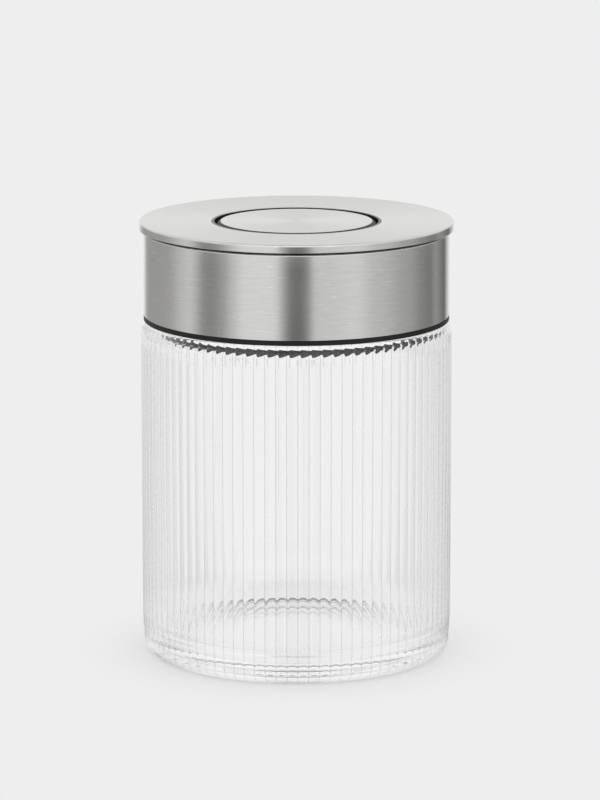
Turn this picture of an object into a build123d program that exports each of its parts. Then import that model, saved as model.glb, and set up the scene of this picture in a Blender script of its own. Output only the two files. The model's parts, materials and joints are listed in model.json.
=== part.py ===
from build123d import *
import os
from math import asin, cos, degrees, radians, sin, tan

# A lidded storage canister: a ribbed glass jar and a steel-clad lid with an airtight seal.
# Pressing the lid's round button down tilts three levers. They lift the press plate, which
# squeezes the gasket out against the jar's neck. A second press lets the button spring up.
# Everything is modelled closed and sealed, with the button down, flush with the lid.
# Millimetres, +Z up. The origin is the centre of the circle that the jar stands on.

# ---- Glass jar ----
jar_radius = 50.0  # over the crests of the ribs
jar_height = 109.0  # up to the top of the lip
glass_wall = 3.5  # from the crests of the ribs to the bore
rib_count = 90
rib_depth = 0.35
rib_crest = 0.8  # of the way from one valley to the next: each rib is gentle on one side only
rib_ledge = 0.1  # the ribs' valleys stand this far out from the smooth heel and shoulder
rib_start = 3.3  # above the table
rib_end = 3.5  # below the top of the lip
shoulder_height = 4.4  # the outside rounds over to the lip within this
lip_rounding = 1.3  # on the lip's inner edge
heel_radius = 4.5
foot_width = 2.5  # flat ring that the jar stands on
base_thickness = 2.6
inner_heel = 4.0
punt_slope = 8.55  # wide, from the foot in to the raised middle of the base
punt_rise = 2.4

# ---- Lid, from the jar's lip upwards ----
seat_gap = 0.05  # between the lip and the lid's flange
flange_thickness = 1.5
band_setback = 0.9  # inside the crests of the jar's ribs
band_height = 27.2
shadow_gap = 0.6  # dark groove between the band and the cover
cover_overhang = 0.5  # beyond the crests of the ribs
cover_height = 2.6
cover_width = 23.3  # from the cover's rim in to its hole
cover_corner = 0.8
band_corner = 0.9
band_lip = 0.9  # flat turned in beyond the band's rounded top edge
sheet = 0.6  # steel sheet of the cover, the band and the button
skin_gap = 0.05  # between pieces that are pressed or glued together
corner_steps = 2  # flats that make up a rounded corner of the glass or the button
floor_thickness = 3.0
plug_depth = 1.0  # of the step that centres the gasket, below the flange

# ---- Button ----
button_gap = 1.2  # from the edge of the cover's hole
button_corner = 2.3
button_clearance = 0.3  # all round, inside the barrel that guides it
button_travel = 8.0
over_press = 1.0  # further down, to trip the latch
cap_depth = 16.0
cap_disc = 2.0  # of the plunger, under the steel
collar_recess = 0.4  # the barrel's rim lies this far below the cover's top
barrel_wall = 1.9
hub_radius = 9.0
hub_flange = 1.5
hub_groove = 2.5  # deep, round the hub, for the levers' inner ends

# ---- Levers and the press plate ----
lever_count = 3
lever_width = 4.0
lever_height = 2.4
pivot_inset = 4.2  # from the button's barrel out to the levers' pins
pivot_height = 8.3  # above the lid's floor
lever_bite = 1.0  # into the hub's groove, to the middle of a lever's round end
lug_inset = 3.0  # from the gasket in to the middle of the plate's lugs
pivot_boss = 2.2
pin_radius = 1.0
running_gap = 0.05  # of a lever on its pin
end_gap = 0.3  # above and below a lever's round end
side_gap = 0.25  # of a lever between its cheeks
cheek_thickness = 2.0
cheek_length = 4.8
plate_thickness = 2.2
plate_gap = 0.3  # between the plate's edge and the glass
lug_thickness = 2.4
lug_width = 8.0
lug_bridge = 1.4  # above the lever's end
window_gap = 0.3  # of a lug in the floor's window

# ---- Gasket ----
gasket_height = 1.9  # squeezed
gasket_width = 4.2
gasket_bulge = 0.7  # of its outer side when squeezed
gasket_to_glass = 0.15

# ---- Spring and latch ----
spring_radius = 4.2  # to the middle of the wire
spring_wire = 0.8  # square
spring_turns = 4
turn_sides = 12  # straight lengths of wire in one turn
spring_clearance = 0.4  # inside the plunger's stem, and round the floor's boss
boss_height = 2.0
wire_radius = 0.45
wire_gap = 1.0  # between the cam's face and the wire's upright
tip_drop = 7.5  # of the wire's tip below the plunger's disc
post_height = 5.0
post_width = 4.0
cam_thickness = 3.5  # out from the hub
cam_width = 7.2
track_depth = 1.4
track_gap = 0.2  # of the wire's tip on each side

# ---- Screws, with hexagonal heads ----
screw_inset = 4.8  # from the button's barrel out to the screws
screw_radius = 1.2
screw_length = 12.0
screw_head = 2.4
head_height = 1.2
head_recess = 0.2  # of the heads inside the plug's underside
head_sides = 6
screw_gap = 0.05
boss_radius = 3.4

# ---- Radii that follow ----
bore_radius = jar_radius - glass_wall
smooth_radius = jar_radius - rib_depth - rib_ledge
foot_outer = smooth_radius - heel_radius
foot_inner = foot_outer - foot_width
punt_radius = foot_inner - punt_slope
band_radius = jar_radius - band_setback
rim_radius = band_radius - sheet - skin_gap
cover_radius = jar_radius + cover_overhang
hole_radius = cover_radius - cover_width
button_radius = hole_radius - button_gap
barrel_bore = button_radius + button_clearance
barrel_radius = barrel_bore + barrel_wall
plunger_radius = button_radius - button_corner
gasket_outer = bore_radius - gasket_to_glass
gasket_inner = gasket_outer - gasket_bulge - gasket_width
spring_bore = spring_radius + spring_wire / 2 + spring_clearance
cam_reach = hub_radius + cam_thickness
wire_reach = cam_reach + wire_gap + wire_radius
screw_circle = barrel_radius + screw_inset

# ---- The levers' arms, and how far they lift the plate as the button goes down ----
pivot_radius = barrel_radius + pivot_inset
lug_radius = gasket_inner - lug_inset
inner_arm = pivot_radius - hub_radius + lever_bite
tilt = asin(button_travel / 2 / inner_arm)
outer_arm = (lug_radius - pivot_radius) / cos(tilt)
plate_travel = button_travel * outer_arm / inner_arm
lever_angles = [360 / lever_count * k for k in range(lever_count)]
screw_angle = 180 / lever_count  # the screws stand midway between the levers
pin_length = lever_width + 2 * (side_gap + cheek_thickness)

# ---- Heights that follow ----
lid_z = jar_height + seat_gap
flange_top = lid_z + flange_thickness
floor_z = lid_z + floor_thickness
plug_z = lid_z - plug_depth
head_z = plug_z + head_recess
band_top = flange_top + band_height
lid_top = band_top + shadow_gap + cover_height
deck_top = lid_top - sheet - skin_gap
plate_top = lid_z - gasket_height - 2 * skin_gap
pivot_z = floor_z + pivot_height
slot_z = pivot_z - button_travel / 2  # the hub's groove
window_z = pivot_z + plate_travel / 2  # the lugs' windows
slot_half = lever_height / 2 + end_gap
disc_z = deck_top - cap_disc
tip_z = disc_z - tip_drop

# With the button up, the levers rest against the end of the barrel
barrel_end = pivot_z + (pivot_radius - barrel_bore) * tan(tilt) + lever_height / 2 / cos(tilt)


def stepped_corner(centre, width, height, start, steps):
    """Points along a quarter of an ellipse: a rounded corner in a few flat steps."""
    angles = [radians(start + 90 * n / steps) for n in range(steps + 1)]
    return [(centre[0] + width * cos(a), centre[1] + height * sin(a)) for a in angles]


def ring(inner, outer, bottom, top):
    """The half-section of a plain ring about the Z axis, for a sketch on Plane.XZ."""
    with Locations((inner, bottom)):
        Rectangle(outer - inner, top - bottom, align=(Align.MIN, Align.MIN))


def bent_sheet(*outside):
    """The outline of bent steel sheet whose outer side, from its rim upwards, is given."""
    Polyline(*outside)
    offset(amount=sheet, side=Side.LEFT, kind=Kind.INTERSECTION)


def radial_plane(angle, radius, height):
    """A plane facing outwards at this angle: its X runs round the axis and its Y runs up."""
    outward = Vector(cos(radians(angle)), sin(radians(angle)), 0)
    around = Vector(-outward.Y, outward.X, 0)
    return Plane(origin=outward * radius + Vector(0, 0, height), x_dir=around, z_dir=outward)


def lever_plane(angle, offset_along_pin=0):
    """The plane of one lever's side, centred on its pin, with X along the lever at rest."""
    outward = Vector(cos(radians(angle)), sin(radians(angle)), 0)
    along_pin = Vector(outward.Y, -outward.X, 0)
    pivot = outward * pivot_radius + Vector(0, 0, pivot_z) + along_pin * offset_along_pin
    return Plane(origin=pivot, x_dir=outward * cos(tilt) + Vector(0, 0, sin(tilt)), z_dir=along_pin)


# ---- The jar: a straight bore, and a base with its middle raised off the table ----
shoulder_z = jar_height - shoulder_height
lip_radius = bore_radius + lip_rounding
shoulder_width = smooth_radius - lip_radius
heel_centre = (foot_outer, heel_radius)
heel = stepped_corner(heel_centre, heel_radius, heel_radius, -90, corner_steps)
shoulder = stepped_corner((lip_radius, shoulder_z), shoulder_width, shoulder_height, 0, corner_steps)

with BuildPart() as jar:
    with BuildSketch(Plane.XY.offset(rib_start)):
        with BuildLine():
            pitch = 360 / rib_count
            rib = ((jar_radius - rib_depth, 0), (jar_radius, rib_crest * pitch))
            Polyline(
                *[
                    Vector(radius, 0).rotate(Axis.Z, pitch * k + turn)
                    for k in range(rib_count)
                    for radius, turn in rib
                ],
                close=True,
            )
        make_face()
    extrude(amount=jar_height - rib_end - rib_start)
    # The smooth heel, shoulder and lip, over the raised middle of the base
    with BuildSketch(Plane.XZ):
        with BuildLine():
            Polyline(
                (0, punt_rise),
                (punt_radius, punt_rise),
                (foot_inner, 0),
                *heel,
                *shoulder,
                (bore_radius, jar_height - lip_rounding),
                (0, jar_height - lip_rounding),
                close=True,
            )
        make_face()
    revolve(axis=Axis.Z)
    with BuildSketch(Plane.XZ):
        with BuildLine():
            Polyline(
                (0, jar_height),
                (bore_radius, jar_height),
                (bore_radius, base_thickness + inner_heel),
                (bore_radius - inner_heel, base_thickness),
                (punt_radius, punt_rise + base_thickness),
                (0, punt_rise + base_thickness),
                close=True,
            )
        make_face()
    revolve(axis=Axis.Z, mode=Mode.SUBTRACT)

# ---- Steel skins of the lid, turned down at the rim ----
with BuildPart() as lid_cover:
    with BuildSketch(Plane.XZ):
        with BuildLine():
            bent_sheet(
                (cover_radius, lid_top - cover_height),
                (cover_radius, lid_top - cover_corner),
                (cover_radius - cover_corner, lid_top),
                (hole_radius, lid_top),
            )
        make_face()
    revolve(axis=Axis.Z)

with BuildPart() as lid_band:
    with BuildSketch(Plane.XZ):
        with BuildLine():
            bent_sheet(
                (band_radius, flange_top),
                (band_radius, band_top - band_corner),
                (band_radius - band_corner, band_top),
                (band_radius - band_corner - band_lip, band_top),
            )
        make_face()
    revolve(axis=Axis.Z)

# ---- Upper housing: the deck under the cover, and the barrel that guides the button ----
with BuildPart() as upper_housing:
    with BuildSketch(Plane.XZ):
        ring(barrel_bore, rim_radius, band_top, deck_top)
        ring(barrel_bore, hole_radius - skin_gap, band_top, lid_top - collar_recess)
        ring(barrel_bore, barrel_radius, barrel_end, band_top)
    revolve(axis=Axis.Z)
    with BuildSketch(Plane.XY.offset(floor_z)):
        with PolarLocations(screw_circle, lever_count, start_angle=screw_angle):
            Circle(boss_radius)
    extrude(until=Until.NEXT)
    with BuildSketch(Plane.XY.offset(floor_z)):
        with PolarLocations(screw_circle, lever_count, start_angle=screw_angle):
            Circle(screw_radius + screw_gap)
    extrude(amount=screw_length, mode=Mode.SUBTRACT)

# ---- Lower housing: the flange over the lip, the levers' cheeks and the latch's post ----
with BuildPart() as lower_housing:
    with BuildSketch(Plane.XZ):
        ring(0, band_radius, lid_z, flange_top)
        ring(0, rim_radius, flange_top, floor_z)
        ring(0, gasket_inner - skin_gap, plug_z, lid_z)
        ring(0, spring_radius - spring_wire / 2 - spring_clearance, floor_z, floor_z + boss_height)
    revolve(axis=Axis.Z)
    # Two cheeks hold each lever's pin
    with BuildSketch(Plane.XY.offset(floor_z)):
        with PolarLocations(pivot_radius, lever_count):
            with GridLocations(0, lever_width + 2 * side_gap + cheek_thickness, 1, 2):
                Rectangle(cheek_length, cheek_thickness)
    extrude(amount=pivot_height + pivot_boss)
    with BuildSketch(*[lever_plane(angle, -pin_length / 2) for angle in lever_angles]):
        Circle(pin_radius)
    extrude(amount=pin_length, mode=Mode.SUBTRACT)
    # The press plate's lugs come up through a window at each lever
    with BuildSketch(Plane.XY.offset(plug_z)):
        with PolarLocations(lug_radius, lever_count):
            Rectangle(lug_thickness + 2 * window_gap, lug_width + 2 * window_gap)
    extrude(amount=floor_z - plug_z, mode=Mode.SUBTRACT)
    with BuildSketch(Plane.XY.offset(plug_z)):
        with PolarLocations(screw_circle, lever_count, start_angle=screw_angle):
            Circle(screw_radius + screw_gap)
    extrude(amount=floor_z - plug_z, mode=Mode.SUBTRACT)
    with BuildSketch(Plane.XY.offset(plug_z)):
        with PolarLocations(screw_circle, lever_count, start_angle=screw_angle):
            Circle(screw_head + screw_gap)
    extrude(amount=head_recess + head_height, mode=Mode.SUBTRACT)
    with BuildSketch(Plane.XY.offset(floor_z)):
        with PolarLocations(wire_reach, 1, start_angle=screw_angle):
            Rectangle(post_width, post_width)
            Circle(wire_radius, mode=Mode.SUBTRACT)
    extrude(amount=post_height)

# ---- Screws from below that clamp the two housings on the band ----
with BuildPart() as housing_screws:
    with BuildSketch(Plane.XY.offset(head_z)):
        with PolarLocations(screw_circle, lever_count, start_angle=screw_angle):
            RegularPolygon(screw_head, head_sides)
    extrude(amount=head_height)
    with BuildSketch(Plane.XY.offset(head_z + head_height)):
        with PolarLocations(screw_circle, lever_count, start_angle=screw_angle):
            Circle(screw_radius)
    extrude(amount=screw_length)

# ---- Button: a steel cap on a black plunger ----
with BuildPart() as button_cap:
    with BuildSketch(Plane.XZ):
        with BuildLine():
            bend_centre = (button_radius - button_corner, lid_top - button_corner)
            bent_sheet(
                (button_radius, lid_top - cap_depth),
                *stepped_corner(bend_centre, button_corner, button_corner, 0, corner_steps),
                (0, lid_top),
            )
        make_face()
    revolve(axis=Axis.Z)

with BuildPart() as button_plunger:
    with BuildSketch(Plane.XZ):
        ring(0, plunger_radius, disc_z, deck_top)
        ring(spring_bore, hub_radius, slot_z - slot_half - hub_flange, disc_z)
        with Locations((hub_radius, slot_z)):
            groove_side = (Align.MAX, Align.CENTER)
            Rectangle(hub_groove, 2 * slot_half, align=groove_side, mode=Mode.SUBTRACT)
    revolve(axis=Axis.Z)
    # Heart-shaped cam: the wire's tip climbs one side of the heart, rests in the notch
    # on its top while the button is down, and leaves down the other side.
    tip = wire_radius + track_gap
    lane = cam_width / 4  # from the heart's middle to the middle of each side's lane
    with BuildSketch(radial_plane(screw_angle, cam_reach, disc_z)):
        Rectangle(cam_width, tip_drop + button_travel + 2 * tip, align=(Align.CENTER, Align.MAX))
    extrude(until=Until.NEXT, dir=radial_plane(screw_angle + 180, 0, 0).z_dir)
    with BuildSketch(radial_plane(screw_angle, cam_reach, tip_z)):
        with BuildLine():
            Polyline(
                (-tip, -button_travel - tip),
                (tip, -button_travel - tip),
                (tip, -button_travel + tip),
                (lane + tip, -button_travel / 2),
                (lane + tip, over_press),
                (lane, over_press + tip),
                (track_gap, over_press),
                (-lane, over_press + tip),
                (-lane - tip, over_press),
                (-lane - tip, -button_travel / 2),
                (-tip, -button_travel + tip),
                close=True,
            )
        make_face()
        with BuildLine():
            heart = lane - tip
            ThreePointArc((-tip, track_gap), (0, -tip), (tip, track_gap))
            Polyline(
                (tip, track_gap),
                (heart, track_gap),
                (heart, -button_travel / 4),
                (0, -button_travel / 2 - tip),
                (-heart, -button_travel / 4),
                (-heart, track_gap),
                (-tip, track_gap),
            )
        make_face(mode=Mode.SUBTRACT)
    extrude(amount=-track_depth, mode=Mode.SUBTRACT)

# ---- Spring under the button, round the floor's boss and up inside the stem ----
spring_low = floor_z + spring_wire / 2 + skin_gap
spring_high = disc_z - spring_wire / 2 - skin_gap
with BuildPart() as button_spring:
    with BuildLine() as coil:
        bends = spring_turns * turn_sides
        Polyline(
            *[
                Vector(spring_radius, 0, spring_low + (spring_high - spring_low) * n / bends).rotate(
                    Axis.Z, 360 * n / turn_sides
                )
                for n in range(bends + 1)
            ]
        )
    with BuildSketch(Plane(origin=coil.line @ 0, x_dir=(1, 0, 0), z_dir=coil.line % 0)):
        Rectangle(spring_wire, spring_wire)
    sweep(transition=Transition.RIGHT)

# ---- Latch wire: clamped in its post, it bends sideways as its tip follows the cam ----
tip_reach = cam_reach - track_depth + track_gap
with BuildPart() as latch_wire:
    with BuildLine(Plane.XZ.rotated((0, 0, screw_angle))) as route:
        Polyline((wire_reach, floor_z), (wire_reach, tip_z), (tip_reach, tip_z))
    with BuildSketch(Plane(origin=route.line @ 0, z_dir=route.line % 0)):
        Circle(wire_radius)
    sweep(transition=Transition.RIGHT)

# ---- Levers: the inner end sits in the hub's groove and the outer end in a lug ----
levers = []
for number, angle in enumerate(lever_angles, 1):
    with BuildPart() as lever:
        with BuildSketch(lever_plane(angle, -lever_width / 2)):
            with Locations(((outer_arm - inner_arm) / 2, 0)):
                SlotCenterToCenter(inner_arm + outer_arm, lever_height)
            Circle(pivot_boss)
            Circle(pin_radius + running_gap, mode=Mode.SUBTRACT)
        extrude(amount=lever_width)
    lever.part.label = f"lever_{number}"
    levers.append(lever)

with BuildPart() as lever_pins:
    with BuildSketch(*[lever_plane(angle, -pin_length / 2) for angle in lever_angles]):
        Circle(pin_radius)
    extrude(amount=pin_length)

# ---- Press plate: a flat disc under the lid, with a windowed lug up to each lever ----
lug_top = window_z + slot_half + lug_bridge
with BuildPart() as press_plate:
    with BuildSketch(Plane.XZ):
        ring(0, bore_radius - plate_gap, plate_top - plate_thickness, plate_top)
    revolve(axis=Axis.Z)
    with BuildSketch(Plane.XY.offset(plate_top)):
        with PolarLocations(lug_radius, lever_count):
            Rectangle(lug_thickness, lug_width)
    extrude(amount=lug_top - plate_top)
    window_planes = [
        radial_plane(angle, lug_radius - lug_thickness / 2, window_z) for angle in lever_angles
    ]
    with BuildSketch(*window_planes):
        Rectangle(lever_width + 2 * window_gap, 2 * slot_half)
    extrude(amount=lug_thickness, mode=Mode.SUBTRACT)

# ---- Gasket: squeezed between the plate and the lower housing, its side bulges out ----
with BuildPart() as plug_gasket:
    with BuildSketch(Plane.XZ):
        with BuildLine():
            Polyline(
                (gasket_inner, plate_top + skin_gap),
                (gasket_outer - gasket_bulge, plate_top + skin_gap),
                (gasket_outer, plate_top + skin_gap + gasket_height / 2),
                (gasket_outer - gasket_bulge, lid_z - skin_gap),
                (gasket_inner, lid_z - skin_gap),
                close=True,
            )
        make_face()
    revolve(axis=Axis.Z)

# ---- One STEP file for each piece ----
jar.part.label = "jar"
lid_cover.part.label = "lid_cover"
lid_band.part.label = "lid_band"
upper_housing.part.label = "upper_housing"
lower_housing.part.label = "lower_housing"
housing_screws.part.label = "housing_screws"
button_cap.part.label = "button_cap"
button_plunger.part.label = "button_plunger"
button_spring.part.label = "button_spring"
latch_wire.part.label = "latch_wire"
lever_pins.part.label = "lever_pins"
press_plate.part.label = "press_plate"
plug_gasket.part.label = "plug_gasket"

os.makedirs("parts", exist_ok=True)
for piece in (
    jar,
    lid_cover,
    lid_band,
    upper_housing,
    lower_housing,
    housing_screws,
    button_cap,
    button_plunger,
    button_spring,
    latch_wire,
    *levers,
    lever_pins,
    press_plate,
    plug_gasket,
):
    export_step(piece.part, f"parts/{piece.part.label}.step")
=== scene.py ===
import bpy
import json
from math import cos, pi, radians, sin
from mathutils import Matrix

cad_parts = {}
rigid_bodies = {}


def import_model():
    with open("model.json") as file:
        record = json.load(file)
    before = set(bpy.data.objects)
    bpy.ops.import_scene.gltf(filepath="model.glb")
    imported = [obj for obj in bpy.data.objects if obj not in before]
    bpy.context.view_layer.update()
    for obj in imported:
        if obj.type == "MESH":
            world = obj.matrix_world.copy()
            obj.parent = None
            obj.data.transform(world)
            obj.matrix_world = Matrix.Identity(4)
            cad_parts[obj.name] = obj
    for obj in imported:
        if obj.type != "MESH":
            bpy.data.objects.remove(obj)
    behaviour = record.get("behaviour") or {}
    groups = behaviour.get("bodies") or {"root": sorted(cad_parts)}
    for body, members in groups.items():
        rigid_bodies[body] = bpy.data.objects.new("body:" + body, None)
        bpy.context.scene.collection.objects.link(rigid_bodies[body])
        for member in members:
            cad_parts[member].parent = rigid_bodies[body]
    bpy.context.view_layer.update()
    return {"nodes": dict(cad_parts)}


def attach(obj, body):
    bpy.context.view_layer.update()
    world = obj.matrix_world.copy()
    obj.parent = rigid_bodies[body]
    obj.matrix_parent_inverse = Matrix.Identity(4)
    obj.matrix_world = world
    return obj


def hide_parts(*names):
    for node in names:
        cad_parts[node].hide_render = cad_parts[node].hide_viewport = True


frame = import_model()
nodes = frame["nodes"]

# ---- Glass jar ----
# A pressed jar of clear glass. Ninety shallow flutes run up its outside and meet in sharp ribs,
# from the heel to just under the lip, where each turns into a lopsided rib. The middle of its
# base is pushed up. It stands loose on the table, and the lid's gasket grips its neck.
RIBS = 90
RIB_DEPTH = 0.00035  # of the lopsided ribs at the neck
RIB_TURN = 1.8  # degrees from the front to a valley
CREST = 0.05  # radius over the crests
SMOOTH = 0.0496  # radius of the smooth heel, a little inside the valleys
HEEL = 0.0045  # height of its rounding
FLUTE_DEPTH = 0.00021
FLUTE_EDGE = 0.675  # of the pitch, from a valley of the neck to the sharp edge between two flutes
# How the flutes come out of the heel: the share of the way out, and the height over the heel
FLUTE_RISE = ((0.1, 0.001), (0.3, 0.003), (0.7, 0.006), (1, 0.0085))
FLUTE_TOP = 0.100  # where the flutes begin to turn into the neck's ribs
NECK_RISE = 0.0035  # over which they turn
NECK_EASING = (0, 0.16, 0.5, 0.84, 1)
NECK_HEIGHTS = [0.1043 + 0.0043 * k / 30 for k in range(31)] + [0.10875, 0.10888, 0.10897]
CREST_BEND, VALLEY_BEND = (0.1045, 0.0025), (0.1055, 0.008)  # where each turns in, and its radius
CREST_LIP, VALLEY_LIP = (0.1079, 0.04915), (0.1068, 0.0494)  # height and radius where each meets the lip
JAR_TOP = 0.109
LIP = 0.04805  # radius of the lip's highest line
LIP_CORNER = 0.0012
BORE = 0.0465
GLASS_FLOOR = 0.0056
CORNER_WIDTH, CORNER_HEIGHT, CORNER_RISE = 0.0100, 0.0094, 0.0092  # where the bore runs into the floor
FOOT_OUT, FOOT_IN = CREST - 0.0049, CREST - 0.0074
FOOT_WIDTH, FOOT_HEIGHT = 0.003, 0.0012
PUNT = FOOT_IN - 0.00855  # radius of the pushed-up middle
PUNT_RISE = 0.0024
PUNT_WIDTH, PUNT_HEIGHT = 0.0012, 0.001
PUNT_SLOPE = (PUNT + 0.0015, 0.0008)  # on the way from there down to the foot
FLAT = PUNT - 0.0010  # radius of the flat floor inside


def rounded(centre, width, height, start, end, steps):
    """Points along an eased corner, as (radius, height)."""
    turns = [radians(start + (end - start) * n / steps) for n in range(steps + 1)]
    return [(centre[0] + width * cos(t), centre[1] + height * sin(t)) for t in turns]


def finish(piece, body, slot, material, *stands_for, sharp=35):
    """Smooths a piece, gives it its material, ties it to its body and hides the pieces of the part it
    stands for.
    """
    bpy.ops.object.select_all(action="DESELECT")
    piece.select_set(True)
    bpy.context.view_layer.objects.active = piece
    bpy.ops.object.shade_smooth_by_angle(angle=radians(sharp))
    piece.data.materials.clear()
    piece.data.materials.append(material)
    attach(piece, body)
    if stands_for:
        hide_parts(*stands_for)


def bend(z, start, size, radius, least):
    """Radius of a side that turns in along an arc from one height on, down to its least."""
    if z <= start:
        return radius
    return max(least, radius - size + max(0, size**2 - (z - start) ** 2) ** 0.5)


def lip(z, foot, width):
    """Radius of the lip's rounding, which begins at its foot and ends at the jar's top."""
    rise = max(0, z - foot) / (JAR_TOP - foot)
    return LIP + (width - LIP) * max(0, 1 - rise * rise) ** 0.5


def jar_side(place, slack):
    """The glass's section at one place of a flute; slack is 1 in the neck's valleys, 0 on its crests."""
    from_edge = 2 * abs((place - FLUTE_EDGE + 0.5) % 1 - 0.5)
    flute = CREST - FLUTE_DEPTH * (1 - (1 - from_edge) ** 2)
    line = [(0, PUNT_RISE), (PUNT / 2, PUNT_RISE)]
    line += rounded((PUNT - PUNT_WIDTH, PUNT_RISE - PUNT_HEIGHT), PUNT_WIDTH, PUNT_HEIGHT, 90, 10, 6)
    line.append(PUNT_SLOPE)
    line += rounded((FOOT_IN, FOOT_HEIGHT), FOOT_WIDTH, FOOT_HEIGHT, 200, 270, 5)
    line += rounded((FOOT_OUT, HEEL), SMOOTH - FOOT_OUT, HEEL, -90, -15, 12)
    ledge = line[-1]
    line += [(ledge[0] + (flute - ledge[0]) * part, ledge[1] + rise) for part, rise in FLUTE_RISE]
    neck = CREST - RIB_DEPTH * slack
    for k, part in enumerate(NECK_EASING):
        line.append((flute + (neck - flute) * part, FLUTE_TOP + NECK_RISE * k / 4))
    for z in NECK_HEIGHTS:
        crest = bend(z, *CREST_BEND, CREST, CREST_LIP[1])
        valley = bend(z, *VALLEY_BEND, CREST - RIB_DEPTH, VALLEY_LIP[1])
        if z > CREST_LIP[0]:
            crest = lip(z, *CREST_LIP)
        if z > VALLEY_LIP[0]:
            valley = min(valley, lip(z, *VALLEY_LIP))
        line.append((crest + (valley - crest) * slack, z))
    line.append((LIP, JAR_TOP))
    line += rounded((BORE + LIP_CORNER, JAR_TOP - LIP_CORNER), LIP_CORNER, LIP_CORNER, 100, 180, 6)
    corner = (BORE - CORNER_WIDTH, GLASS_FLOOR + CORNER_RISE)
    line += rounded(corner, CORNER_WIDTH, CORNER_HEIGHT, 0, -80, 14)
    line += [(radius, GLASS_FLOOR) for radius in (FLAT, PUNT / 2, 0)]
    return line


# One flute is bridged between such lines, and repeated round the jar
PLACES = (0, 0.1, 0.2, 0.35, 0.5, 0.6, 0.675, 0.75, 0.85, 0.9, 0.95, 1)
SLACKS = (1, 0.87, 0.74, 0.56, 0.38, 0.27, 0.18, 0.1, 0.02, 0, 0.5, 1)
bpy.ops.object.select_all(action="DESELECT")
bpy.ops.mesh.primitive_plane_add(size=0.001)
jar = bpy.context.object
jar.name = jar.data.name = "ribbed_jar"
bpy.ops.object.mode_set(mode="EDIT")
bpy.ops.mesh.delete(type="VERT")
for place, slack in zip(PLACES, SLACKS):
    line = jar_side(place, slack)
    bpy.ops.mesh.select_all(action="DESELECT")
    bpy.ops.mesh.primitive_plane_add(size=0.001, location=(line[0][0], 0, line[0][1]))
    bpy.ops.mesh.merge(type="CENTER")
    for (was, low), (now, high) in zip(line, line[1:]):
        bpy.ops.mesh.extrude_region_move(TRANSFORM_OT_translate={"value": (now - was, 0, high - low)})
    bpy.ops.mesh.select_linked()
    turn = radians(RIB_TURN - 90 + 360 / RIBS * place)
    bpy.ops.transform.rotate(value=-turn, orient_axis="Z", center_override=(0, 0, 0))
bpy.ops.mesh.select_all(action="SELECT")
bpy.ops.mesh.bridge_edge_loops()
bpy.ops.mesh.select_all(action="SELECT")
bpy.ops.mesh.spin(
    steps=RIBS - 1, dupli=True, angle=2 * pi * (RIBS - 1) / RIBS, center=(0, 0, 0), axis=(0, 0, 1)
)
bpy.ops.mesh.select_all(action="SELECT")
bpy.ops.mesh.remove_doubles(threshold=1e-6)
bpy.ops.mesh.normals_make_consistent(inside=False)
bpy.ops.object.mode_set(mode="OBJECT")

# The glass is painted darker in thin lines along its sharp ribs: painted shade standing in for the dark
# lines that refraction draws there.
CLEAR, PAINTED_LINE_TONE = 0.994, 0.4  # how much light the glass lets by
PAINTED_LINE_TURN = 0.375  # of the pitch, which brings each line onto the sharp edge between two flutes
PAINTED_LINE_WIDTH = 0.05  # of the pitch, to each side


def feed(tree, node, *terms, **named):
    """Gives a node its inputs, in order or by name. One that is another node's output is linked."""
    by_name = [(node.inputs[name.replace("_", " ")], value) for name, value in named.items()]
    for socket, value in [*zip(node.inputs, terms), *by_name]:
        if isinstance(value, bpy.types.NodeSocket):
            tree.links.new(value, socket)
        else:
            socket.default_value = value
    return node


def add(tree, kind, *terms, operation=None, **named):
    """A new shader node with its inputs."""
    node = tree.nodes.new("ShaderNode" + kind)
    if operation:
        node.operation = operation
    return feed(tree, node, *terms, **named)


def new_material(name):
    """A material, and the tree of its nodes."""
    material = bpy.data.materials.new(name)
    material.use_nodes = True
    return material, material.node_tree


def new_group(name, takes, gives):
    """A node group with named inputs and outputs, what comes into it, and the node it ends in."""
    group = bpy.data.node_groups.new(name, "ShaderNodeTree")
    for way, sockets in (("INPUT", takes), ("OUTPUT", gives)):
        for socket, kind in sockets.items():
            group.interface.new_socket(socket, in_out=way, socket_type="NodeSocket" + kind)
    return group, group.nodes.new("NodeGroupInput").outputs, group.nodes.new("NodeGroupOutput")


def place_group(tree, group, **values):
    """A node group placed in a material, with values of its own."""
    node = tree.nodes.new("ShaderNodeGroup")
    node.node_tree = group
    return feed(tree, node, **values)


def eased(tree, value, low, high, start=0, end=1):
    """Goes from start to end, with soft turns, as a value goes from low to high."""
    node = tree.nodes.new("ShaderNodeMapRange")
    node.interpolation_type = "SMOOTHSTEP"
    return feed(tree, node, value, low, high, start, end).outputs["Result"]


def painted_rib_shade():
    """Painted shade in fine lines along the sharp ribs, standing in for the dark lines that refraction
    draws there.
    """
    group, entry, end = new_group(
        "painted rib shade",
        {"Position": "Vector", "Ribs": "Float", "Turn": "Float", "Width": "Float"},
        {"Line": "Float"},
    )
    split = add(group, "SeparateXYZ", entry["Position"])
    turn = add(group, "Math", split.outputs["Y"], split.outputs["X"], operation="ARCTAN2")
    pitches = add(group, "Math", turn.outputs[0], entry["Ribs"], operation="MULTIPLY")
    place = add(group, "Math", pitches.outputs[0], 1 / (2 * pi), entry["Turn"], operation="MULTIPLY_ADD")
    nearest = add(group, "Math", place.outputs[0], 0.5, operation="PINGPONG")
    feed(group, end, Line=eased(group, nearest.outputs[0], 0, entry["Width"], 1, 0))
    return group


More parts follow.
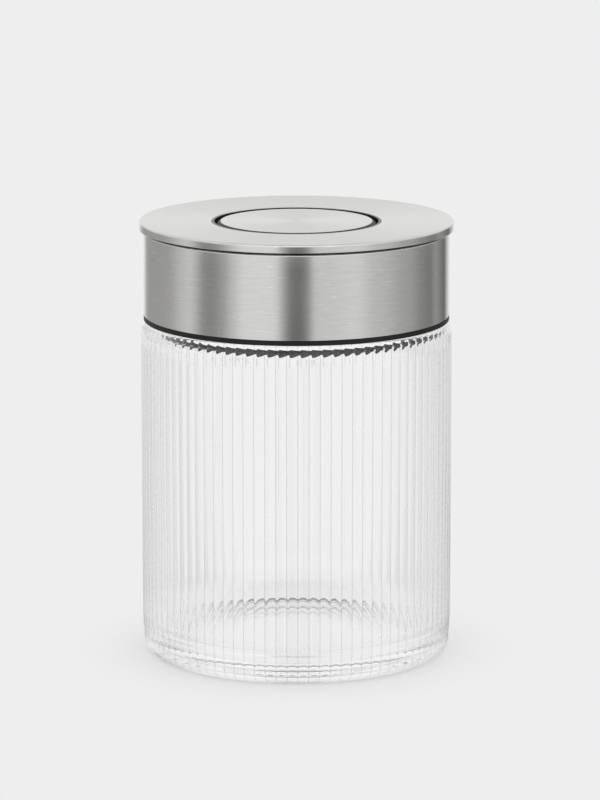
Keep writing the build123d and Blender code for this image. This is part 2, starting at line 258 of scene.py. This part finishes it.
clear_glass, tree = new_material("clear ribbed glass")
glass = tree.nodes["Principled BSDF"]
feed(tree, glass, Base_Color=(CLEAR, CLEAR, CLEAR, 1), Roughness=0.0, IOR=1.5, Transmission_Weight=1.0)
where = add(tree, "TexCoord").outputs["Object"]
waviness = add(tree, "TexNoise", Vector=where, Scale=60.0, Detail=2.0)
bump = add(tree, "Bump", Strength=0.05, Distance=0.0002, Height=waviness.outputs["Fac"])
painted_lines = place_group(
    tree, painted_rib_shade(), Position=where, Ribs=float(RIBS), Turn=PAINTED_LINE_TURN, Width=PAINTED_LINE_WIDTH
)
# The painted shade falls where sight enters the glass, and not a second time where it leaves it
outside = add(tree, "Math", 1, add(tree, "NewGeometry").outputs["Backfacing"], operation="SUBTRACT")
painted_shade = add(tree, "Math", painted_lines.outputs["Line"], outside.outputs[0], operation="MULTIPLY")
tone = add(tree, "MapRange", painted_shade.outputs[0], To_Min=CLEAR, To_Max=PAINTED_LINE_TONE)
feed(tree, glass, Base_Color=tone.outputs["Result"], Normal=bump.outputs["Normal"])
finish(jar, "jar", "glass", clear_glass, "jar", sharp=25)

# ---- Press plate and gasket ----
# A ring of soft white silicone sits under the lid's flange. The levers pull the black moulded
# plate up against it, which squeezes it out against the jar's neck and seals the jar.
GASKET = 0.04635
GASKET_BORE = 0.0415
GASKET_TOP = 0.1090
GASKET_CORNER = 0.0002
SEAT = 0.1072  # where it lies on the plate


def turned(name, sides, section, closed=True):
    """A turned piece: a circle that is drawn out along its section, and then joined up."""
    bpy.ops.object.select_all(action="DESELECT")
    bpy.ops.mesh.primitive_circle_add(vertices=sides, radius=section[0][0], location=(0, 0, section[0][1]))
    piece = bpy.context.object
    piece.name = piece.data.name = name
    bpy.ops.object.transform_apply(location=True)
    bpy.ops.object.mode_set(mode="EDIT")
    bpy.ops.mesh.select_all(action="SELECT")
    loop = section[1:] + ([section[0]] if closed else [])
    for (was, low), (now, high) in zip(section, loop):
        bpy.ops.mesh.extrude_region_move(TRANSFORM_OT_translate={"value": (0, 0, high - low)})
        bpy.ops.transform.resize(value=(now / was, now / was, 1), center_override=(0, 0, 0))
    bpy.ops.mesh.select_all(action="SELECT")
    bpy.ops.mesh.remove_doubles(threshold=1e-6)
    bpy.ops.mesh.fill_holes(sides=0)
    bpy.ops.mesh.normals_make_consistent(inside=False)
    bpy.ops.object.mode_set(mode="OBJECT")
    return piece


def moulded_grain():
    """The fine grain that a mould leaves, and the faint cloudiness of its gloss."""
    group, entry, end = new_group(
        "moulded grain",
        {"Position": "Vector", "Grain Size": "Float", "Gloss": "Float"},
        {"Height": "Float", "Roughness": "Float"},
    )
    fine = add(group, "TexNoise", Vector=entry["Position"], Scale=entry["Grain Size"], Detail=3.0)
    cloud = add(group, "TexNoise", Vector=entry["Position"], Scale=90.0, Detail=2.0)
    gloss = add(group, "Math", cloud.outputs["Fac"], 0.1, entry["Gloss"], operation="MULTIPLY_ADD")
    feed(group, end, Height=fine.outputs["Fac"], Roughness=gloss.outputs[0])
    return group


GRAIN = moulded_grain()


def moulded(name, colour, grain, gloss, depth, **values):
    """A moulded material with its grain."""
    material, tree = new_material(name)
    bsdf = feed(tree, tree.nodes["Principled BSDF"], Base_Color=colour, **values)
    where = add(tree, "TexCoord").outputs["Object"]
    texture = place_group(tree, GRAIN, Position=where, Grain_Size=grain, Gloss=gloss)
    bump = add(tree, "Bump", Strength=depth, Distance=0.0001, Height=texture.outputs["Height"])
    feed(tree, bsdf, Roughness=texture.outputs["Roughness"], Normal=bump.outputs["Normal"])
    return material


def give(material, *names):
    """Gives pieces of the part their material."""
    for name in names:
        nodes[name].data.materials.clear()
        nodes[name].data.materials.append(material)


BLACK = (0.011, 0.011, 0.012, 1)
black_moulding = moulded("black moulding", BLACK, 2500.0, 0.4, 0.15, Specular_IOR_Level=0.22)
give(black_moulding, "press_plate")

WHITE = (0.93, 0.93, 0.92, 1)
# The silicone's white is its own colour. Its faint glow is painted light, which keeps it as bright as the
# backdrop in the shade under the lid's flange.
silicone_with_painted_glow = moulded(
    "white silicone with painted glow", WHITE, 900.0, 0.38, 0.05, Emission_Color=(1, 1, 1, 1), Emission_Strength=0.5
)
section = [(GASKET_BORE, SEAT), (GASKET, SEAT), (GASKET, GASKET_TOP - GASKET_CORNER)]
section += [(GASKET - GASKET_CORNER, GASKET_TOP), (GASKET_BORE, GASKET_TOP)]
gasket = turned("white_gasket", 240, section)
finish(gasket, "lid", "silicone", silicone_with_painted_glow, "plug_gasket")

# ---- Black mouldings ----
# Two moulded housings are clamped together inside the band: the lower one lies on the glass lip,
# and the upper one guides the button. The plunger under the button and the three levers that
# pull the plate up are moulded from the same black plastic.
give(black_moulding, "lower_housing", "button_plunger", "lever_1", "lever_2", "lever_3")
satin_black = moulded("satin black moulding", BLACK, 1500.0, 0.22, 0.04, Specular_IOR_Level=0.3)
give(satin_black, "upper_housing")

# ---- Steel wire and pins ----
# The coil spring under the button and the latch are bent from drawn spring steel. The levers
# turn on plain steel pins, and three steel screws hold the two housings together.


def mixed(tree, factor, first, second):
    """A colour between two others."""
    node = tree.nodes.new("ShaderNodeMix")
    node.data_type = "RGBA"
    return feed(tree, node, Factor=factor, A=first, B=second).outputs["Result"]


bright_steel, tree = new_material("bright steel wire")
where = add(tree, "TexCoord").outputs["Object"]
draw_marks = add(tree, "TexNoise", Vector=where, Scale=1800.0, Detail=3.0).outputs["Fac"]
tone = mixed(tree, draw_marks, (0.5, 0.5, 0.51, 1), (0.68, 0.68, 0.69, 1))
gloss = add(tree, "MapRange", draw_marks, To_Min=0.18, To_Max=0.34).outputs["Result"]
feed(tree, tree.nodes["Principled BSDF"], Metallic=1.0, Base_Color=tone, Roughness=gloss)
give(bright_steel, "button_spring", "latch_wire", "lever_pins", "housing_screws")

# ---- Steel band and cover ----
# The band is a strip of stainless sheet rolled into a sleeve, with its top edge turned in. The
# cover is a disc pressed from the same sheet, turned down at its rim and pierced for the button.
# Both are brushed round and round, and the housings carry them.
SHEET = 0.0006  # thickness of the steel
FOLD = 0.0007  # outside radius of a folded edge
INNER_FOLD = 0.0002
BROKEN_EDGE = 0.0001
BAND = 0.0491
BAND_LIP = 0.0018
FLANGE_TOP, BAND_TOP = 0.1107, 0.13775
COVER = 0.0505
LID_TOP = 0.14095
SKIRT = 0.0026  # how far the cover's rim comes down
FACE = LID_TOP - 0.00035  # the cover dips a little towards its hole, and the button lies level with it
HOLE = 0.0272


def from_axis(tree, position):
    """The level part of a position, and how far it is from the middle."""
    level = add(tree, "VectorMath", position, (1, 1, 0), operation="MULTIPLY").outputs[0]
    return level, add(tree, "VectorMath", level, operation="LENGTH").outputs["Value"]


def brushing():
    """Brushed lines that run round a turned piece: their tone and depth, and the smudges over them."""
    group, entry, end = new_group(
        "brushing",
        {"Position": "Vector", "Lines": "Float", "Length": "Float"},
        {"Line": "Float", "Scratch": "Float", "Smudge": "Float"},
    )
    level, reach = from_axis(group, entry["Position"])
    outward = add(group, "VectorMath", level, operation="NORMALIZE")
    height = add(group, "SeparateXYZ", entry["Position"]).outputs["Z"]
    across = add(group, "Math", height, reach)
    along = add(group, "VectorMath", outward.outputs[0], operation="SCALE", Scale=entry["Length"])
    lines = add(group, "Math", across.outputs[0], entry["Lines"], operation="MULTIPLY")
    place = add(group, "CombineXYZ", Z=lines.outputs[0])
    stretched = add(group, "VectorMath", along.outputs[0], place.outputs[0]).outputs[0]
    fine = add(group, "TexNoise", Vector=stretched, Scale=1.0, Detail=4.0, Roughness=0.7)
    shorter = add(group, "VectorMath", stretched, (1.5, 1.5, 1.2), operation="MULTIPLY")
    sparse = add(group, "TexNoise", Vector=shorter.outputs[0], Scale=1.0, Detail=2.0)
    scratch = add(group, "MapRange", sparse.outputs["Fac"], From_Min=0.66, From_Max=0.76)
    smudge = add(group, "TexNoise", Vector=entry["Position"], Scale=45.0, Detail=2.0)
    feed(group, end, Line=fine.outputs["Fac"], Scratch=scratch.outputs["Result"])
    feed(group, end, Smudge=smudge.outputs["Fac"])
    return group


brushed, tree = new_material("brushed steel")
where = add(tree, "TexCoord").outputs["Object"]
lines = place_group(tree, brushing(), Position=where, Lines=2600.0, Length=7.0)
tone = mixed(tree, lines.outputs["Line"], (0.56, 0.555, 0.545, 1), (0.73, 0.725, 0.71, 1))
worn = mixed(tree, lines.outputs["Scratch"], tone, (0.82, 0.815, 0.80, 1))
gloss = add(tree, "MapRange", lines.outputs["Smudge"], To_Min=0.17, To_Max=0.27).outputs["Result"]
groove = add(tree, "Bump", Strength=0.06, Distance=0.00002, Height=lines.outputs["Line"])
steel = feed(tree, tree.nodes["Principled BSDF"], Metallic=1.0, Anisotropic=0.7, Anisotropic_Rotation=0.25)
feed(tree, steel, Base_Color=worn, Roughness=gloss, Normal=groove.outputs["Normal"])

section = [(BAND - SHEET, FLANGE_TOP), (BAND, FLANGE_TOP)]
section += [(BAND, FLANGE_TOP + (BAND_TOP - FOLD - FLANGE_TOP) * k / 6) for k in range(1, 6)]
section += rounded((BAND - FOLD, BAND_TOP - FOLD), FOLD, FOLD, 0, 90, 6)
section += [(BAND - BAND_LIP, BAND_TOP), (BAND - BAND_LIP, BAND_TOP - SHEET)]
section += [(BAND - SHEET - INNER_FOLD, BAND_TOP - SHEET), (BAND - SHEET, BAND_TOP - SHEET - INNER_FOLD)]
band = turned("steel_band", 360, section)
finish(band, "lid", "brushed_steel", brushed, "lid_band")

section = [(HOLE, FACE - SHEET), (HOLE, FACE - BROKEN_EDGE), (HOLE + BROKEN_EDGE, FACE)]
section += [(HOLE + (COVER - FOLD - HOLE) * k / 5, FACE + (LID_TOP - FACE) * k / 5) for k in range(1, 5)]
section += rounded((COVER - FOLD, LID_TOP - FOLD), FOLD, FOLD, 90, 0, 8)
section += [(COVER, LID_TOP - SKIRT + BROKEN_EDGE), (COVER - BROKEN_EDGE, LID_TOP - SKIRT)]
section += [(COVER - SHEET, LID_TOP - SKIRT), (COVER - SHEET, LID_TOP - SHEET - INNER_FOLD)]
section += [(COVER - SHEET - INNER_FOLD, LID_TOP - SHEET)]
cover = turned("steel_cover", 360, section)
finish(cover, "lid", "brushed_steel", brushed, "lid_cover")

# ---- Button ----
# A pressed cap of the same brushed steel, eased over at its edge, sits in a black moulded rim.
# The two move as one, and slide up and down in the hole of the cover.
BUTTON = 0.026
EASING = 0.0023  # radius of the button's edge
CAP_SHEET, CAP_INSET = 0.0005, 0.0002
RIM_WALL = 0.0006
RIM_FOOT = LID_TOP - 0.016
edge = rounded((BUTTON - EASING, FACE - EASING), EASING, EASING, 90, 0, 18)
CAP_END = 3  # the point of the edge where the steel ends and the rim begins

section = [(BUTTON * k / 6, FACE) for k in (1, 2, 3, 4, 5)] + edge[:CAP_END + 1]
section += [(radius - CAP_INSET, height - CAP_SHEET) for radius, height in reversed(edge[:CAP_END + 1])]
section += [(BUTTON / 6, FACE - CAP_SHEET)]
cap = turned("steel_button", 240, section, closed=False)
finish(cap, "button", "brushed_steel", brushed, "button_cap")

# The rim's black is its own moulded colour. Its black eased edge also stands in as painted shade for the
# dark gap round the button.
section = edge[CAP_END:] + [(BUTTON, RIM_FOOT)]
section += [(BUTTON - RIM_WALL, RIM_FOOT), (BUTTON - RIM_WALL, FACE - EASING)]
section += [(radius - RIM_WALL, height - RIM_WALL) for radius, height in (edge[11], edge[7])]
rim = turned("button_rim", 240, section)
finish(rim, "button", "black_plastic", black_moulding)

# ---- Studio ----
# The canister stands on an even, pale floor in front of an even, pale backdrop. White walls and
# dark flags round it, which only the steel and the glass reflect, draw the stripes on the band.
# Soft white light comes from every side.
PALE = 0.855
FLAGS = [  # degrees from the front, and how bright the studio is there
    (-164, 1.0), (-146, 0.42), (-112, 0.46), (-104, 0.52), (-96, 0.68), (-84, 0.82), (-78, 0.62),
    (-72, 0.33), (-64, 0.31), (-54, 0.45), (-48, 0.72), (-38, 0.98), (-14, 0.98), (-10, 0.5),
    (-4, 0.17), (3, 0.16), (8, 0.3), (13, 0.82), (20, 0.82), (44, 0.9), (60, 0.70), (90, 0.48),
    (106, 0.31), (118, 0.24), (124, 0.40), (140, 0.22), (144, 0.11), (151, 0.62), (164, 1.0),
]
SOFT_FLAGS = [
    (-160, 0.9), (-152, 0.72), (-135, 0.7), (-100, 0.8), (0, 0.82), (100, 0.8), (135, 0.72),
    (152, 0.74), (160, 0.9),
]
BACK = 0.9  # straight behind the canister
SKY, ROOF = 0.92, 0.75
SKY_RISE, ROOF_RISE = (0.02, 0.27), (0.78, 0.92)  # how steeply up each begins and is all there
PANEL_SIDES, PANEL_RISE = (0.2, 0.7), (0.05, 0.3)  # the raised white panel in front


def grey(level):
    """A plain grey."""
    return (level, level, level, 1)


def studio_pattern(name, flags, panel_brightness):
    """How bright the studio looks in each direction from the canister."""
    group, entry, end = new_group(name, {"Direction": "Vector"}, {"Brightness": "Color"})
    split = add(group, "SeparateXYZ", entry["Direction"])
    height = split.outputs["Z"]
    front = add(group, "Math", split.outputs["Y"], -1, operation="MULTIPLY").outputs[0]
    turn = add(group, "Math", split.outputs["X"], front, operation="ARCTAN2")
    spread = add(group, "MapRange", turn.outputs[0], -pi, pi)
    ramp = add(group, "ValToRGB", spread.outputs["Result"])
    stops = ramp.color_ramp
    stops.interpolation = "EASE"
    for stop, position in zip(stops.elements, (0, 1)):
        stop.position = position
        stop.color = grey(BACK)
    for degrees, brightness in flags:
        stops.elements.new(degrees / 360 + 0.5).color = grey(brightness)
    whole = mixed(group, eased(group, height, *SKY_RISE), ramp.outputs["Color"], grey(SKY))
    roofed = mixed(group, eased(group, height, *ROOF_RISE), whole, grey(ROOF))
    sides, rise = eased(group, front, *PANEL_SIDES), eased(group, height, *PANEL_RISE)
    panel = add(group, "Math", sides, rise, operation="MULTIPLY")
    feed(group, end, Brightness=mixed(group, panel.outputs[0], roofed, grey(panel_brightness)))
    return group


def by_ray(tree, base, **lights):
    """A base with other lights laid over it, each for one kind of ray. The last that fits is seen."""
    path = add(tree, "LightPath")
    surface = base
    for ray, light in lights.items():
        fits = path.outputs[ray.replace("_", " ")]
        surface = add(tree, "MixShader", fits, surface.outputs[0], light.outputs[0])
    return surface.outputs[0]


round_the_lid = studio_pattern("studio round the lid", FLAGS, 1.3)
through_the_glass = studio_pattern("studio through the glass", SOFT_FLAGS, 0.92)

world = bpy.data.worlds.new("studio")
bpy.context.scene.world = world
world.use_nodes = True
tree = world.node_tree
tree.nodes.clear()
where = add(tree, "TexCoord").outputs["Generated"]
reflected = place_group(tree, round_the_lid, Direction=where)
refracted = place_group(tree, through_the_glass, Direction=where)
shiny = add(tree, "Background", Color=reflected.outputs["Brightness"])
clear = add(tree, "Background", Color=refracted.outputs["Brightness"])
pale = add(tree, "Background", Color=grey(PALE))
soft = add(tree, "Background", Color=grey(1))
surface = by_ray(
    tree, soft, Is_Camera_Ray=pale, Is_Glossy_Ray=shiny, Is_Transmission_Ray=clear, Diffuse_Depth=soft
)
add(tree, "OutputWorld", Surface=surface)

FLOOR = 1.2
SHADOW = (0.0, 0.08)  # the floor's own shading gives way to an even tone between these distances
NEAR_FLOOR = (0.055, 0.11)  # and the plain floor seen through the glass to the soft flags
bpy.ops.object.select_all(action="DESELECT")
bpy.ops.mesh.primitive_circle_add(vertices=128, radius=FLOOR, fill_type="NGON", location=(0, 0, 0))
floor = bpy.context.object
floor.name = "floor"
pale_floor, tree = new_material("pale floor")
bsdf = feed(
    tree, tree.nodes["Principled BSDF"], Base_Color=grey(PALE), Roughness=1.0, Specular_IOR_Level=0.0
)
where = add(tree, "TexCoord").outputs["Object"]
distance = from_axis(tree, where)[1]
reflected = place_group(tree, round_the_lid, Direction=where)
refracted = place_group(tree, through_the_glass, Direction=where)
shiny = add(tree, "Emission", Color=reflected.outputs["Brightness"])
clear = add(tree, "Emission", Color=refracted.outputs["Brightness"])
plain = add(tree, "Emission", Color=grey(PALE))
open_floor, far_floor = eased(tree, distance, *SHADOW), eased(tree, distance, *NEAR_FLOOR)
shade = add(tree, "MixShader", open_floor, bsdf.outputs[0], plain.outputs[0])
seen_through = add(tree, "MixShader", far_floor, plain.outputs[0], clear.outputs[0])
surface = by_ray(
    tree,
    bsdf,
    Is_Camera_Ray=shade,
    Is_Glossy_Ray=shiny,
    Is_Transmission_Ray=seen_through,
    Diffuse_Depth=bsdf,
)
feed(tree, tree.nodes["Material Output"], Surface=surface)
floor.data.materials.append(pale_floor)

# ---- Camera ----
# A long lens stands in front of the canister, a little above its lid, and looks slightly down.
# Light may bounce as often as the ribbed glass needs, because fewer bounces leave black lines in it.
LENS = 185
STAND = (0, -1.3, 0.3495)
LOOKS_DOWN, LOOKS_ASIDE = 11.63, -0.05  # degrees
BOUNCES = 96
lens = bpy.data.cameras.new("camera")
lens.lens = LENS
lens.clip_end = 20
camera = bpy.data.objects.new("camera", lens)
bpy.context.scene.collection.objects.link(camera)
camera.location = STAND
camera.rotation_euler = (radians(90 - LOOKS_DOWN), 0, radians(LOOKS_ASIDE))
bpy.context.scene.camera = camera

bpy.context.scene.view_settings.view_transform = "Standard"
cycles = bpy.context.scene.cycles
cycles.max_bounces = cycles.transmission_bounces = cycles.glossy_bounces = BOUNCES
